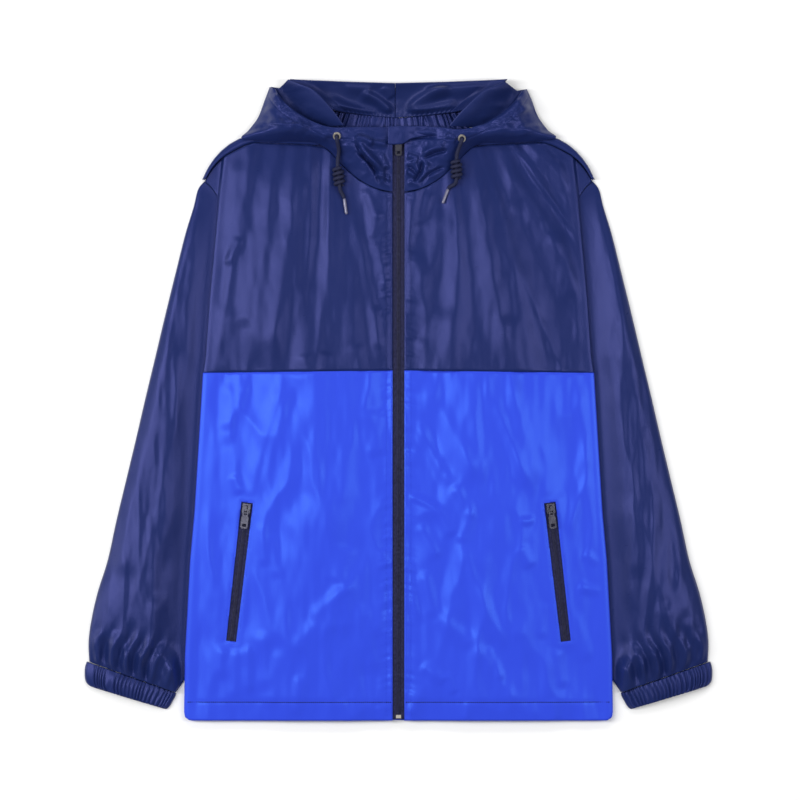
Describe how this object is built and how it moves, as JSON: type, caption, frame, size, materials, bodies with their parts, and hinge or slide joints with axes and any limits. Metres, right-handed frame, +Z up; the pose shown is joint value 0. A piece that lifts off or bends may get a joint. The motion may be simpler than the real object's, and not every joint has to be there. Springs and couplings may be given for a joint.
{
  "type": "windbreaker jacket",
  "caption": "Two-colour hooded windbreaker laid flat on its back: fronts, back, sleeves, elastic cuffs, hood with drawcord, front zip and zipped side pockets.",
  "frame": {"origin": "on the surface that the jacket lies on, under the middle of its overall outline", "axes": "+X to the right as seen from above with the hood away from the viewer, +Y from the hem to the hood, +Z up out of the front"},
  "size_m": [0.784, 0.8002, 0.0375],
  "materials": {
    "navy_cloth": "thin shiny woven polyester, navy",
    "royal_cloth": "thin shiny woven polyester, royal blue",
    "zip_tape": "matt woven zip tape, near black navy",
    "zip_coil": "moulded nylon coil",
    "gunmetal": "satin gunmetal plating",
    "silver": "polished plated metal",
    "cord": "braided polyester cord",
    "cord_tip": "smooth grey-lavender cord tip"
  },
  "bodies": {
    "jacket": {"back_upper": "navy_cloth", "front_upper_left": "navy_cloth", "front_upper_right": "navy_cloth", "sleeve_left": "navy_cloth", "sleeve_right": "navy_cloth", "cuff_left": "navy_cloth", "cuff_right": "navy_cloth", "hood_left": "navy_cloth", "hood_right": "navy_cloth", "neck_band": "navy_cloth", "back_lower": "royal_cloth", "front_lower_left": "royal_cloth", "front_lower_right": "royal_cloth", "zip_tape_left": "zip_tape", "zip_tape_right": "zip_tape", "pocket_tape_left": "zip_tape", "pocket_tape_right": "zip_tape", "zip_coil": "zip_coil", "pocket_coil_left": "zip_coil", "pocket_coil_right": "zip_coil", "zip_slider": "gunmetal", "pocket_slider_left": "gunmetal", "pocket_slider_right": "gunmetal", "zip_bottom_stop": "silver", "eyelet_left": "silver", "eyelet_right": "silver", "cord_left": "cord", "cord_right": "cord", "knot_left": "cord", "knot_right": "cord", "cord_tail_left": "cord", "cord_tail_right": "cord", "cord_tip_left": "cord_tip", "cord_tip_right": "cord_tip"},
    "main_pull": {"zip_pull": "gunmetal"},
    "left_pocket_pull": {"pocket_pull_left": "gunmetal"},
    "right_pocket_pull": {"pocket_pull_right": "gunmetal"}
  },
  "joints": [
    {"name": "main_pull_hinge", "type": "hinge", "parent": "jacket", "child": "main_pull", "pos_m": [0, 0.3275, 0.0263], "axis": [-1, 0, 0], "range_deg": [0, 12]},
    {"name": "left_pocket_pull_hinge", "type": "hinge", "parent": "jacket", "child": "left_pocket_pull", "pos_m": [-0.1902, -0.13694, 0.01688], "axis": [-0.9889, 0.1148, -0.0938], "range_deg": [0, 165]},
    {"name": "right_pocket_pull_hinge", "type": "hinge", "parent": "jacket", "child": "right_pocket_pull", "pos_m": [0.19021, -0.13694, 0.01688], "axis": [-0.9888, -0.1147, 0.0951], "range_deg": [0, 165]}
  ]
}
